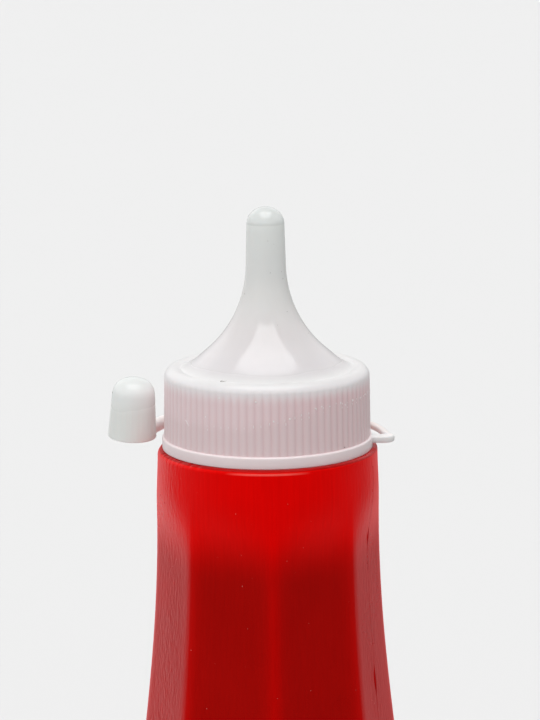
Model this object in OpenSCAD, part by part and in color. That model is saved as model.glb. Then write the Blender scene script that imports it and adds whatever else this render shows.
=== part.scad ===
// Squeeze bottle with a ribbed screw closure, a long pouring nozzle and a tip cap on a strap.
// Millimetres, +Z up. The origin is the centre of the base. The nozzle stands over the origin,
// the strap's arm points to +X, the tip cap hangs beside the closure towards -X, and the
// front is -Y.

/* [Bottle] */
// Height from the base to the shoulder under the closure
body_h = 165; // [120:1:220]
// Diameter across two opposite ridges at the base
base_d = 63; // [54:0.5:80]
// Wall of the blown bottle
wall = 1.0; // [0.6:0.1:2]
// Radius of the rounded edge around the base
base_edge = 4; // [2:0.5:6]
// Radius of the rounded edge of the shoulder
shoulder_edge = 1.2; // [0.6:0.1:2]
// How far the shoulder stands out past the closure's band
shoulder_lip = 1.0; // [0.4:0.1:3]
// How much wider the grip is than the shoulder, on the radius
grip_swell = 0.38; // [0:0.02:1.5]
// Drop from the shoulder to where the body starts to widen
flare_drop = 12; // [8:0.5:25]
// Height over which the body widens
flare_h = 113; // [70:1:120]

/* [Panels] */
// Number of flat panels, an even number
panels = 8; // [6:2:12]
// Drop from the shoulder to the top of the panels
panel_drop = 7; // [4:0.5:20]
// Height over which the round body turns into flat panels
panel_blend = 16; // [10:0.5:30]
// Width of the rounded land left on each ridge
ridge_land = 0.8; // [0.4:0.1:3]
// Angle that the ridges are turned from the front, as the closure stops
panel_turn = 2.5; // [-20:0.5:20]

/* [Contents] */
// Drop from the shoulder to the surface of the ketchup
fill_drop = 18.5; // [5:0.5:60]
// Clearance between the ketchup and the wall
fill_gap = 0.05; // [0.02:0.01:0.2]

/* [Neck] */
// Outer diameter of the neck
neck_d = 37.2; // [30:0.2:45]
// Wall of the neck
neck_wall = 1.6; // [1.2:0.1:2.5]
// Clearance between the neck and the closure, all round
neck_fit = 0.4; // [0.2:0.05:0.8]
// Clearance between the top of the neck and the closure's plate
seat_gap = 0.3; // [0.1:0.05:0.6]
// Clearance between the closure's open end and the shoulder
shoulder_gap = 0.4; // [0.2:0.05:1]

/* [Closure] */
// Wall of the ribbed skirt at its open end, ribs included
skirt_wall = 2.05; // [1.4:0.05:3]
// Height from the open end to the top of the ribs
skirt_h = 14.3; // [10:0.1:25]
// How much the skirt narrows towards its top, on the radius
skirt_draft = 0.2; // [0:0.05:0.6]
// Height of the smooth band at the open end
band_h = 2.0; // [1.6:0.1:3]
// How far the band stands out past the ribs
band_step = 0.4; // [0.2:0.05:1]
// Number of grip ribs
ribs = 82; // [40:1:100]
// Depth of the grooves between the ribs
groove_depth = 0.25; // [0.1:0.05:0.5]
// Radius of the tool that leaves a groove
groove_r = 0.38; // [0.25:0.01:0.6]
// Thickness of the plate over the neck
plate = 1.7; // [1.2:0.1:2.5]
// Width of the rounded rim around the plate
rim_w = 4.15; // [3:0.05:6]
// How far the rim stands above the foot of the nozzle
rim_rise = 0.9; // [0.4:0.1:2]

/* [Nozzle] */
// Height from the foot of the nozzle to the base of its round tip
nozzle_h = 29.5; // [20:0.5:45]
// Diameter at the base of the round tip
tip_d = 7.62; // [5:0.02:10]
// Height of the round tip
tip_h = 3.45; // [2:0.05:5]
// Slope of the shaft's side
shaft_draft = 1.6; // [0.5:0.1:4]
// Slope of the foot, from the vertical
foot_slope = 49; // [40:1:58]
// Radius of the sweep from the shaft to the foot
sweep_r = 23; // [15:0.5:26]
// Wall of the nozzle
nozzle_wall = 1.1; // [0.8:0.05:1.6]

/* [Strap] */
// Diameter of the strap's round section
strap_d = 1.5; // [1:0.1:2.5]
// Smallest gap between the strap and the band, on the arm's side
strap_gap = 2.2; // [1.5:0.1:4]
// How far the strap's circle is moved towards the tip cap
strap_shift = 0.9; // [0:0.1:2]
// Width of the flat arm that joins the strap to the band
arm_w = 2.7; // [1.6:0.1:4]
// Thickness of the arm
arm_t = 1.6; // [1:0.1:2]
// Length of the cone where the strap meets the tip cap
root_len = 5; // [3:0.5:6]
// Diameter of that cone at the tip cap
root_d = 2.8; // [1.6:0.1:3]

/* [Tip cap] */
// Clearance between the tip cap's bore and the nozzle's tip, all round
tip_fit = 0.15; // [0.05:0.05:0.4]
// Wall of the tip cap at its open end
tip_wall = 1.05; // [0.8:0.05:1.5]
// Height of the tip cap
tip_cap_h = 12.7; // [9:0.1:18]
// How much the tip cap narrows towards its dome, on the radius
tip_draft = 0.5; // [0.1:0.05:0.8]
// Height of the dome
dome_h = 3.9; // [2.5:0.1:6]
// Gap between the tip cap and the band
tip_gap = 1.75; // [1:0.05:6]
// Angle that the tip cap lies behind the closure's -X side
tip_turn = 10; // [0:0.5:30]

/* [Hidden] */
$fn = 96;
eps = 0.01;

// Closure, measured from its open end.
bore_r = neck_d / 2 + neck_fit;
skirt_r = bore_r + skirt_wall;
skirt_top_r = skirt_r - skirt_draft;
band_r = skirt_r + band_step;
band_edge = band_h / 5;
foot_r = skirt_top_r - rim_w;
foot_z = skirt_h + rim_rise + 0.5;
plate_z = foot_z - plate;
nozzle_z = foot_z + nozzle_h;
tip_r = tip_d / 2;

// Bottle, measured from its base.
shoulder_r = band_r + shoulder_lip;
grip_r = shoulder_r + grip_swell;
base_r = base_d / 2;
closure_z = body_h + shoulder_gap;
neck_top = closure_z + plate_z - seat_gap;
fill_z = body_h - fill_drop;
flare_top = body_h - flare_drop;
flare_foot = flare_top - flare_h;
panel_top = body_h - panel_drop;
panel_full = panel_top - panel_blend;

// Tip cap and strap.
tip_bore_r = tip_r + tip_fit;
tip_cap_r = tip_bore_r + tip_wall;
tip_top_r = tip_cap_r - tip_draft;
tip_side_h = tip_cap_h - dome_h;
tip_reach = band_r + tip_gap + tip_cap_r;
tip_pos = [-tip_reach * cos(tip_turn), tip_reach * sin(tip_turn)];
strap_ring_r = band_r + strap_gap + strap_d / 2 + strap_shift;
strap_z = closure_z + band_h / 2 + (band_h - arm_t) / 4;
arm_end = strap_ring_r - strap_shift;
strap_end = atan2(tip_pos[1], tip_pos[0] + strap_shift);

// ---- curves ----

// Points of an elliptical arc about c with half axes rx and rz, from angle a to angle b.
function arc(c, rx, rz, a, b, n) =
    [for (i = [0:n]) let (t = a + (b - a) * i / n) c + [rx * cos(t), rz * sin(t)]];

// A smooth step from 0 to 1 as t goes from 0 to 1: half a wave of a cosine.
function ease(t) = (1 - cos(180 * max(0, min(1, t)))) / 2;

// Radius of the ridges at height z: a slow wave from the grip down to the base.
function ridge_r(z) =
    z > flare_top
        ? grip_r - grip_swell * ease((z - flare_top) / flare_drop)
        : grip_r + (base_r - grip_r) * ease((flare_top - z) / flare_h);

// Distance of the panels from the axis at height z. It clears the round body at the top
// and leaves only the land on each ridge further down.
function panel_r(z) =
    let (r = ridge_r(z), flat = r * cos(180 / panels - asin(ridge_land / 2 / r)))
    r + 2 * eps - (r + 2 * eps - flat) * ease((panel_top - z) / panel_blend);

// Heights at which an outline turns, from the base upwards. The round body's are shifted by
// half a step from the panels', so that the two outlines never turn at the same place.
function body_levels(shift) =
    concat(
        [flare_foot],
        [for (i = [1:13]) flare_foot + (panel_full - flare_foot) * (i - shift) / 14],
        [for (i = [0:8]) panel_full + (panel_top - panel_full) * (i - shift) / 8]
    );

// Half outline of the body for one radius at each height, taken in by inset all round.
function body_side(radii, levels, inset) =
    let (
        top = body_h - inset,
        foot = radii[0] - inset,
        head = shoulder_r - inset,
        low = max(base_edge - inset, 0.5),
        high = max(shoulder_edge - inset, 0.3)
    )
    concat(
        arc([foot - low, inset + low], low, low, -90, 0, 6),
        [for (i = [0:len(levels) - 1]) [radii[i] - inset, levels[i]]],
        arc([head - high, top - high], high, high, 0, 90, 4)
    );

// ---- bottle ----

// The round body that carries the ridges.
module body_round(inset) {
    levels = body_levels(0.5);
    side = body_side([for (z = levels) ridge_r(z)], levels, inset);
    rotate_extrude() polygon(concat([[0, inset]], side, [[0, body_h - inset]]));
}

// A slab with the two opposite panels as its faces.
module panel_pair(inset) {
    levels = body_levels(0);
    width = base_r + 10;
    foot = panel_r(levels[0]) - inset;
    side = concat(
        [[foot, inset - 1]],
        [for (z = levels) [panel_r(z) - inset, z]],
        [[shoulder_r + 1, panel_top + 1], [shoulder_r + 1, body_h + 1]]
    );
    mirrored = [for (i = [len(side) - 1:-1:0]) [-side[i][0], side[i][1]]];
    rotate([90, 0, 0]) linear_extrude(2 * width, center = true) polygon(concat(side, mirrored));
}

// The whole body, solid: round at the shoulder, flat panels below.
module body_solid(inset) {
    rotate([0, 0, panel_turn - 90]) intersection() {
        body_round(inset);
        for_all_panels(inset);
    }
}

module for_all_panels(inset) {
    intersection_for(i = [0:panels / 2 - 1])
        rotate([0, 0, (i + 0.5) * 360 / panels]) panel_pair(inset);
}

module bottle() {
    color([0.75, 0.02, 0.02]) difference() {
        union() {
            body_solid(0);
            translate([0, 0, body_h - wall]) cylinder(r = neck_d / 2, h = neck_top - body_h + wall);
        }
        body_solid(wall);
        translate([0, 0, body_h - 2 * wall]) cylinder(r = neck_d / 2 - neck_wall, h = neck_top);
    }
}

// ---- contents ----

module ketchup() {
    color([0.5, 0.02, 0.01]) intersection() {
        body_solid(wall + fill_gap);
        cylinder(r = base_d, h = fill_z);
    }
}

// ---- closure ----

// Outline of the nozzle's outside from the foot to the tip, taken in by inset. The foot is
// a cone, then an arc sweeps into the drafted shaft, and an elliptical tip closes it.
function nozzle_side(inset) =
    let (
        s = tan(shaft_draft),
        shaft_foot = tip_r + s * nozzle_h,
        run = sweep_r * (cos(shaft_draft) - cos(foot_slope)),
        rise = sweep_r * (sin(foot_slope) - sin(shaft_draft)),
        join = (foot_r - shaft_foot - run + rise * tan(foot_slope)) / (tan(foot_slope) - s),
        c = [shaft_foot - s * join + sweep_r * cos(shaft_draft), foot_z + join + sweep_r * sin(shaft_draft)],
        r = sweep_r + inset,
        drop = inset / sin(foot_slope),
        tip = [tip_r - inset, tip_h - inset]
    )
    concat(
        [[foot_r, foot_z - drop]],
        [for (i = [0:12]) let (a = foot_slope + (shaft_draft - foot_slope) * i / 12)
            c - r * [cos(a), sin(a)]],
        arc([0, nozzle_z], tip[0], tip[1], 0, 90, 8)
    );

// The closure's outside with no grooves.
module closure_outside() {
    rim_r = rim_w / 2;
    rim_c = [skirt_top_r - rim_r, skirt_h];
    band = [
        [0, 0], [band_r - band_edge, 0], [band_r, band_edge],
        [band_r, band_h - band_edge], [band_r - band_edge, band_h], [skirt_r, band_h]
    ];
    rim = arc(rim_c, rim_r, foot_z + rim_rise - skirt_h, 0, 150, 10);
    rotate_extrude() polygon(concat(band, rim, nozzle_side(0)));
}

// One cutter for a groove: a thin cylinder that leans with the skirt's draft.
module groove() {
    lean = atan(skirt_draft / (skirt_h - band_h));
    translate([skirt_r + groove_r - groove_depth, 0, band_h])
        rotate([0, -lean, 0]) cylinder(r = groove_r, h = skirt_h + rim_rise, $fn = 24);
}

// The space inside: the bore round the neck and the passage up the nozzle.
module closure_inside() {
    passage = [for (p = nozzle_side(nozzle_wall)) if (p[1] > plate_z && p[0] < foot_r - plate) p];
    translate([0, 0, -1]) cylinder(r = bore_r, h = plate_z + 1);
    rotate_extrude() polygon(concat([[0, plate_z - 1], [passage[0][0], plate_z - 1]], passage));
}

module closure() {
    color([0.92, 0.9, 0.9]) translate([0, 0, closure_z]) difference() {
        closure_outside();
        closure_inside();
        for (i = [0:ribs - 1]) rotate([0, 0, (i + 0.5) * 360 / ribs - 90]) groove();
    }
}

// ---- strap and tip cap ----

// The flat arm that leaves the band, with the round corner where the strap turns back.
module arm() {
    y = -arm_w / 2 + 0.15;
    translate([0, 0, strap_z - arm_t / 2]) {
        translate([0, y - arm_w / 2, 0]) cube([arm_end, arm_w, arm_t]);
        translate([arm_end, y, 0]) cylinder(d = arm_w, h = arm_t);
    }
}

// The strap: part of a ring, from the arm round the back to the tip cap.
module strap_ring() {
    start = -asin(arm_w / 4 / strap_ring_r);
    translate([-strap_shift, 0, strap_z])
        rotate([0, 0, start]) rotate_extrude(angle = strap_end - start)
            translate([strap_ring_r, 0]) circle(d = strap_d, $fn = 32);
}

// The cone that thickens the strap where it meets the tip cap.
module strap_root() {
    near = strap_end - 2 * asin(tip_cap_r * 0.45 / strap_ring_r);
    translate([-strap_shift, 0, strap_z]) rotate([0, 0, near]) translate([strap_ring_r, 0, 0])
        rotate([90, 0, 0]) cylinder(d1 = root_d, d2 = strap_d, h = root_len);
}

module strap() {
    color([0.93, 0.92, 0.92]) difference() {
        union() {
            arm();
            strap_ring();
            strap_root();
        }
        translate([0, 0, closure_z - 1]) cylinder(r = band_r, h = band_h + 2);
        tip_cap_place() tip_cap_outside();
    }
}

module tip_cap_place() {
    translate([tip_pos[0], tip_pos[1], closure_z]) children();
}

module tip_cap_outside() {
    rotate_extrude() polygon(concat(
        [[0, 0], [tip_cap_r, 0]],
        arc([0, tip_side_h], tip_top_r, dome_h, 0, 90, 10)
    ));
}

// The bore that slides over the nozzle's tip. Its wall thins a little with the draft.
module tip_cap_bore() {
    dome = tip_wall;
    rotate_extrude() polygon(concat(
        [[0, -1], [tip_bore_r, -1], [tip_bore_r, 0]],
        arc([0, tip_side_h], tip_bore_r - tip_draft / 5, dome_h - dome, 0, 90, 8)
    ));
}

module tip_cap() {
    color([0.94, 0.96, 0.95]) tip_cap_place() difference() {
        tip_cap_outside();
        tip_cap_bore();
    }
}

bottle();
ketchup();
closure();
strap();
tip_cap();
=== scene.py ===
"""A squeeze bottle of ketchup with a ribbed nozzle closure and a tip cap on a strap.

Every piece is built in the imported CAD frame, at the sizes of the part's source. Sizes inside
the classes are millimetres. Angles are degrees, turned from the front (-Y) towards +X.
"""

import logging
import math
from dataclasses import dataclass, field
from enum import Enum

import bpy
import numpy as np
from mathutils import Matrix, Vector


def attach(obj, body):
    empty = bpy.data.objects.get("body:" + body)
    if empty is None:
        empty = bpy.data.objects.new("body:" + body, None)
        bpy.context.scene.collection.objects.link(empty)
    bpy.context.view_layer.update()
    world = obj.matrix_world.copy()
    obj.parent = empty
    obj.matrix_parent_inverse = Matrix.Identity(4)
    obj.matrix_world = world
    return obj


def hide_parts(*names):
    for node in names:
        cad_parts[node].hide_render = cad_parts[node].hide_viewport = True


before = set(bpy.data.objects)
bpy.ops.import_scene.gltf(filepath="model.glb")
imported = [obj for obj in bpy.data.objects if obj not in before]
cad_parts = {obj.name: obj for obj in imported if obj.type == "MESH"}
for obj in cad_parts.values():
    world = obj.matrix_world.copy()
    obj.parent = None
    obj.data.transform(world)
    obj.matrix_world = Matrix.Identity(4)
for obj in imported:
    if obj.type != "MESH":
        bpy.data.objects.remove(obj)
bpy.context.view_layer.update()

MM = 0.001
BODY = "root"

logging.basicConfig(level=logging.INFO, format="%(levelname)s %(message)s")
log = logging.getLogger("ketchup_bottle")

Array = np.ndarray
Colour = tuple[float, float, float]


class Slope(Enum):
    """How a mapped value goes from one end of its range to the other."""

    STRAIGHT = "LINEAR"
    EASED = "SMOOTHSTEP"


# ---------------------------------------------------------------- shapes


def ease(t: Array) -> Array:
    """A smooth step from 0 to 1: half a wave of a cosine, flat outside 0 to 1."""
    return (1 - np.cos(np.pi * np.clip(t, 0, 1))) / 2


def soft_min(a: Array, b: Array, width: Array) -> Array:
    """The smaller of two values, with the corner between them rounded off.

    Args:
        a: first value.
        b: second value.
        width: difference over which the corner is rounded. At 0 it is sharp.

    Returns:
        The lower value, less a parabola where the two are closer than width.
    """
    width = np.maximum(width, 1e-9)
    near = np.maximum(width - np.abs(a - b), 0) / width
    return np.minimum(a, b) - near * near * width / 4


def bell(t: Array) -> Array:
    """A hump of height 1 at 0 that falls away as the exponent of minus t squared."""
    return np.exp(-t * t)


def arc(centre: tuple[float, float], rx: float, rz: float, a: float, b: float, n: int) -> Array:
    """An elliptical arc about a centre, in n steps from angle a to b, outwards towards up."""
    t = np.radians(np.linspace(a, b, n + 1))
    return np.stack([centre[0] + rx * np.cos(t), centre[1] + rz * np.sin(t)], axis=1)


def line(start: tuple[float, float], end: tuple[float, float], n: int) -> Array:
    """A straight stretch of a half outline in n points, without its last point."""
    t = np.linspace(0, 1, n, endpoint=False)[:, None]
    return np.asarray(start) * (1 - t) + np.asarray(end) * t


def rings_at(radius: Array, height: Array, angles: Array) -> Array:
    """Points of a grid: x is radius times sine, y minus radius times cosine, z the height."""
    parts = np.broadcast_arrays(radius * np.sin(angles), -radius * np.cos(angles), height)
    return np.stack(parts, axis=-1)


def with_poles(values: Array) -> Array:
    """A grid's values as a list, with the first and the last again for the two poles."""
    flat = values.reshape(-1, values.shape[-1])
    return np.vstack([flat, flat[:1], flat[-1:]])


def stacked(parts: list[tuple[Array, Array]], columns: Array) -> tuple[Array, ...]:
    """Stretches of rings, each a radius and a height, as one grid of radii and one of heights."""
    grids = [np.broadcast_arrays(radius, height, columns)[:2] for radius, height in parts]
    return tuple(np.vstack([grid[i] for grid in grids]) for i in (0, 1))


def from_front(angles: Array) -> Array:
    """Azimuths in degrees from the front, between -180 and 180."""
    return (np.degrees(angles) + 180) % 360 - 180


def even_columns(n: int) -> Array:
    """Azimuths of n even columns, in radians, starting at the front."""
    return np.arange(n) * (2 * np.pi / n)


@dataclass
class Shape:
    """Vertices and faces of one closed mesh, before they go into Blender.

    Attributes:
        points: vertices, n by 3, in millimetres.
        quads: faces of four corners.
        triangles: faces of three corners.
    """

    points: Array
    quads: Array = field(default_factory=lambda: np.zeros((0, 4), int))
    triangles: Array = field(default_factory=lambda: np.zeros((0, 3), int))

    @classmethod
    def from_rings(cls, rings: Array) -> "Shape":
        """Joins a stack of closed rings into one skin, each end closed by a fan to its middle.

        Args:
            rings: rows by columns by 3.

        Returns:
            The closed shape, its faces outwards.
        """
        rows, columns, _ = rings.shape
        index = np.arange(rows * columns).reshape(rows, columns)
        low, high = index[:-1], index[1:]
        quads = np.stack([low, np.roll(low, -1, 1), np.roll(high, -1, 1), high], -1)
        points = np.vstack([rings.reshape(-1, 3), rings[0].mean(0), rings[-1].mean(0)])
        first, last = (np.full(columns, index.size + n) for n in (0, 1))
        triangles = np.vstack([
            np.stack([first, np.roll(index[0], -1), index[0]], -1),
            np.stack([last, index[-1], np.roll(index[-1], -1)], -1),
        ])
        return cls(points, quads.reshape(-1, 4), triangles).outwards()

    @classmethod
    def joined(cls, shapes: list["Shape"]) -> "Shape":
        """Puts several shapes into one mesh.

        Args:
            shapes: the shapes to join.

        Returns:
            One shape that holds them all.
        """
        starts = np.cumsum([0] + [len(s.points) for s in shapes])
        return cls(
            np.vstack([s.points for s in shapes]),
            np.vstack([s.quads + n for s, n in zip(shapes, starts)]),
            np.vstack([s.triangles + n for s, n in zip(shapes, starts)]),
        )

    @classmethod
    def scattered(cls, unit: "Shape", frames: Array, places: Array, sizes: Array) -> "Shape":
        """Repeats a small shape, each copy turned, sized and moved.

        Args:
            unit: the shape, about 1 across.
            frames: n by 3 by 3, the rows being the copy's own x, y and z directions.
            places: n by 3, where each copy goes.
            sizes: n by 3, its size along its own x, y and z.

        Returns:
            All the copies as one shape.
        """
        local = unit.points[None] * sizes[:, None, :]
        points = np.einsum("nki,nij->nkj", local, frames) + places[:, None, :]
        shift = (np.arange(len(places)) * len(unit.points))[:, None, None]
        return cls(
            points.reshape(-1, 3),
            (unit.quads[None] + shift).reshape(-1, 4),
            (unit.triangles[None] + shift).reshape(-1, 3),
        )

    def volume(self) -> float:
        """Signed volume: a sixth of the sum of each triangle's triple product.

        Returns:
            Cubic millimetres, negative where the faces point inwards.
        """
        split = np.vstack([self.quads[:, [0, 1, 2]], self.quads[:, [0, 2, 3]], self.triangles])
        a, b, c = (self.points[split[:, i]] for i in range(3))
        return float(np.einsum("ij,ij->i", a, np.cross(b, c)).sum() / 6)

    def outwards(self) -> "Shape":
        """Turns every face round if the signed volume is negative.

        Returns:
            The shape itself.
        """
        if self.volume() < 0:
            self.quads, self.triangles = self.quads[:, ::-1], self.triangles[:, ::-1]
        return self

    def build(self, name: str, masks: dict[str, Array] | None = None) -> bpy.types.Object:
        """Puts the shape into a Blender mesh, in metres, at the origin.

        Args:
            name: name of the piece.
            masks: for each attribute's name, one value or colour for each vertex.

        Returns:
            The new object.
        """
        mesh = bpy.data.meshes.new(name)
        mesh.vertices.add(len(self.points))
        mesh.vertices.foreach_set("co", (self.points * MM).astype(np.float32).ravel())
        corners = np.concatenate([self.quads.ravel(), self.triangles.ravel()]).astype(np.int32)
        sizes = np.concatenate([np.full(len(self.quads), 4), np.full(len(self.triangles), 3)])
        mesh.loops.add(len(corners))
        mesh.loops.foreach_set("vertex_index", corners)
        mesh.polygons.add(len(sizes))
        starts = np.concatenate([[0], np.cumsum(sizes)[:-1]]).astype(np.int32)
        mesh.polygons.foreach_set("loop_start", starts)
        mesh.polygons.foreach_set("use_smooth", np.ones(len(sizes), bool))
        mesh.update(calc_edges=True)
        mesh.validate()
        for key, values in (masks or {}).items():
            colours = np.ones((len(self.points), 4), np.float32)
            colours[:, :3] = values
            layer = mesh.attributes.new(key, "FLOAT_COLOR", "POINT")
            layer.data.foreach_set("color", colours.ravel())
        piece = bpy.data.objects.new(name, mesh)
        bpy.context.scene.collection.objects.link(piece)
        return piece


def pebble(sides: int = 8) -> Shape:
    """A low rounded grain, 1 across and 1 tall, its foot sunk a little below its place."""
    outline = np.array([[0.38, -0.3], [0.5, 0.0], [0.36, 0.35], [0.14, 0.48]])
    return Shape.from_rings(rings_at(outline[:, :1], outline[:, 1:], even_columns(sides)))


def swept(path: Array, widths: Array, heights: Array, powers: Array, sides: int) -> Shape:
    """Carries a section along a level path and closes both ends.

    The section is a super-ellipse: each of its two measures is the sign of the sine or cosine
    times its size to the power two over p, so p of 2 is round and a higher p is squarer.

    Args:
        path: n by 3, the middle of the section at each step.
        widths: full width of the section in plan at each step.
        heights: full height at each step.
        powers: the super-ellipse's power at each step.
        sides: points in a section.

    Returns:
        The closed sweep.
    """
    ahead = np.gradient(path, axis=0)
    ahead[:, 2] = 0
    ahead /= np.linalg.norm(ahead, axis=1, keepdims=True)
    aside = np.stack([ahead[:, 1], -ahead[:, 0], np.zeros(len(path))], axis=1)
    t = even_columns(sides)[None, :]
    power = 2 / powers[:, None]
    across = np.sign(np.cos(t)) * np.abs(np.cos(t)) ** power * widths[:, None] / 2
    upward = np.sign(np.sin(t)) * np.abs(np.sin(t)) ** power * heights[:, None] / 2
    rings = path[:, None, :] + across[..., None] * aside[:, None, :]
    rings[..., 2] += upward
    return Shape.from_rings(rings)


# ---------------------------------------------------------------- finishes


class Graph:
    """A short hand for the nodes of one material or world."""

    def __init__(self, owner: bpy.types.Material | bpy.types.World) -> None:
        """Empties the node tree of its owner.

        Args:
            owner: the material or world whose nodes are laid out.
        """
        owner.use_nodes = True
        self.tree = owner.node_tree
        self.tree.nodes.clear()

    def node(self, kind: str, feeds: dict | None = None, **settings) -> bpy.types.Node:
        """Adds a node.

        Args:
            kind: the node's type.
            feeds: for each input, by name or number, a value or another node's output.
            settings: properties of the node.

        Returns:
            The node.
        """
        made = self.tree.nodes.new(kind)
        for key, value in settings.items():
            setattr(made, key, value)
        for key, value in (feeds or {}).items():
            if isinstance(value, bpy.types.NodeSocket):
                self.tree.links.new(value, made.inputs[key])
            else:
                made.inputs[key].default_value = value
        return made

    def place(self, scale: Colour = (1, 1, 1)) -> bpy.types.NodeSocket:
        """Object coordinates, stretched: a pattern gets finer along an axis with a higher scale."""
        start = self.node("ShaderNodeTexCoord").outputs["Object"]
        return self.node("ShaderNodeMapping", {"Vector": start, "Scale": scale}).outputs[0]

    def axes(self) -> bpy.types.NodeSocketCollection:
        """Object coordinates in metres, as x, y and z. The last is the height above the floor."""
        start = self.node("ShaderNodeTexCoord").outputs["Object"]
        return self.node("ShaderNodeSeparateXYZ", {0: start}).outputs

    def levels(self, stops: tuple[tuple[float, Colour], ...]) -> bpy.types.NodeSocket:
        """A colour that changes with height.

        Args:
            stops: heights in millimetres, upwards, each with its colour.

        Returns:
            The colour.
        """
        low, high = stops[0][0], stops[-1][0]
        share = self.spread(self.axes()[2], low * MM, high * MM, 0, 1)
        ramp = self.node("ShaderNodeValToRGB", {0: share})
        band = ramp.color_ramp
        while len(band.elements) < len(stops):
            band.elements.new(1.0)
        for element, (z, colour) in zip(band.elements, stops):
            element.position = (z - low) / (high - low)
            element.color = (*colour, 1)
        return ramp.outputs[0]

    def noise(self, place: bpy.types.NodeSocket, scale: float,
              detail: float = 2.0) -> bpy.types.NodeSocket:
        """Smooth noise from 0 to 1, with scale lumps to a unit of place and finer layers on it."""
        feeds = {"Vector": place, "Scale": scale, "Detail": detail}
        return self.node("ShaderNodeTexNoise", feeds).outputs[0]

    def calc(self, kind: str, first, *rest) -> bpy.types.NodeSocket:
        """Arithmetic that takes in one value after another.

        Args:
            kind: the operation's name.
            first: first value or output.
            rest: the values or outputs that follow.

        Returns:
            The result.
        """
        for value in rest:
            first = self.node("ShaderNodeMath", {0: first, 1: value}, operation=kind).outputs[0]
        return first

    def size(self, value) -> bpy.types.NodeSocket:
        """A value without its sign."""
        return self.node("ShaderNodeMath", {0: value}, operation="ABSOLUTE").outputs[0]

    def shaded(self, colour, share) -> bpy.types.NodeSocket:
        """A colour made lighter or darker by a share."""
        feeds = {0: colour, "Scale": share}
        return self.node("ShaderNodeVectorMath", feeds, operation="SCALE").outputs[0]

    def spread(self, value, low: float, high: float, to_low: float, to_high: float,
               slope: Slope = Slope.STRAIGHT) -> bpy.types.NodeSocket:
        """Maps one range to another and stops at its ends.

        Args:
            value: what is mapped.
            low: the value that becomes to_low.
            high: the value that becomes to_high.
            to_low: result at low.
            to_high: result at high.
            slope: how it goes between them.

        Returns:
            The mapped value.
        """
        feeds = {0: value, 1: low, 2: high, 3: to_low, 4: to_high}
        return self.node("ShaderNodeMapRange", feeds, interpolation_type=slope.value).outputs[0]

    def blend(self, amount, a, b) -> bpy.types.NodeSocket:
        """Mixes two colours.

        Args:
            amount: how much of b, from 0 to 1.
            a: first colour or output.
            b: second colour or output.

        Returns:
            The mixed colour.
        """
        mixer = self.node("ShaderNodeMix", data_type="RGBA")
        for key, value in ((0, amount), (6, a), (7, b)):
            if isinstance(value, bpy.types.NodeSocket):
                self.tree.links.new(value, mixer.inputs[key])
            else:
                mixer.inputs[key].default_value = (*value, 1) if key else value
        return mixer.outputs[2]

    def masks(self, name: str) -> bpy.types.NodeSocketCollection:
        """The three channels of one of the piece's own attributes."""
        held = self.node("ShaderNodeAttribute", attribute_name=name).outputs["Color"]
        return self.node("ShaderNodeSeparateColor", {0: held}).outputs

    def bump(self, height, strength: float, depth: float, under=None) -> bpy.types.NodeSocket:
        """Roughens the surface.

        Args:
            height: the relief, from 0 to 1.
            strength: how much of it shows.
            depth: the relief's depth in metres.
            under: another relief that this one is laid on.

        Returns:
            The turned normal.
        """
        feeds = {"Height": height, "Strength": strength, "Distance": depth}
        if under is not None:
            feeds["Normal"] = under
        return self.node("ShaderNodeBump", feeds).outputs[0]

    def surface(self, feeds: dict) -> None:
        """Ends the tree with the plastic shader, given its inputs."""
        shader = self.node("ShaderNodeBsdfPrincipled", feeds)
        self.node("ShaderNodeOutputMaterial", {0: shader.outputs[0]})


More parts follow.
